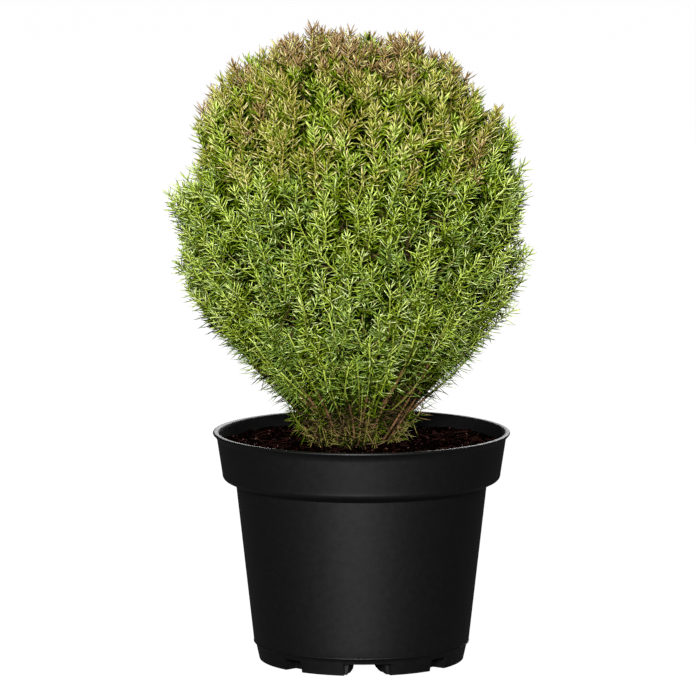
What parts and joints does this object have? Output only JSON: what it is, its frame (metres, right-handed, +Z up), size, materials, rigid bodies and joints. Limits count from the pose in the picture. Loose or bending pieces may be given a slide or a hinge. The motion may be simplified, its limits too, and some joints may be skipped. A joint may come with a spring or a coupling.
{
  "type": "potted teddy arborvitae",
  "caption": "Globe-shaped dwarf conifer with soft juvenile needles, bronze-tipped on top, standing in a round black nursery pot of substrate",
  "frame": {"origin": "middle of the flat underside of the pot", "axes": "+Z up along the pot's axis; the plant is seen from -Y in the picture, with +X to the right"},
  "size_m": [0.2399, 0.235, 0.4085],
  "materials": {
    "pot_plastic": "satin black moulded plastic",
    "substrate": "damp dark bark and peat",
    "bark": "thin brown bark",
    "foliage": "soft needles, bright green",
    "foliage_tips": "soft needles, bronze tips over green"
  },
  "bodies": {
    "root": {"pot": "pot_plastic", "soil": "substrate", "trunk": "bark", "bough_upper_1": "bark", "bough_upper_2": "bark", "bough_upper_3": "bark", "bough_upper_4": "bark", "bough_upper_5": "bark", "bough_upper_6": "bark", "bough_middle_1": "bark", "bough_middle_2": "bark", "bough_middle_3": "bark", "bough_middle_4": "bark", "bough_middle_5": "bark", "bough_middle_6": "bark", "bough_middle_7": "bark", "bough_middle_8": "bark", "bough_lower_1": "bark", "bough_lower_2": "bark", "bough_lower_3": "bark", "bough_lower_4": "bark", "bough_lower_5": "bark", "bough_lower_6": "bark", "bough_lower_7": "bark", "foliage_top": "foliage_tips", "foliage_upper_1": "foliage_tips", "foliage_upper_2": "foliage_tips", "foliage_upper_3": "foliage_tips", "foliage_upper_4": "foliage_tips", "foliage_upper_5": "foliage_tips", "foliage_upper_6": "foliage_tips", "foliage_middle_1": "foliage", "foliage_middle_2": "foliage", "foliage_middle_3": "foliage", "foliage_middle_4": "foliage", "foliage_middle_5": "foliage", "foliage_middle_6": "foliage", "foliage_middle_7": "foliage", "foliage_middle_8": "foliage", "foliage_lower_1": "foliage", "foliage_lower_2": "foliage", "foliage_lower_3": "foliage", "foliage_lower_4": "foliage", "foliage_lower_5": "foliage", "foliage_lower_6": "foliage", "foliage_lower_7": "foliage", "foliage_foot_1": "foliage", "foliage_foot_2": "foliage", "foliage_foot_3": "foliage", "foliage_foot_4": "foliage", "foliage_foot_5": "foliage"}
  },
  "joints": []
}
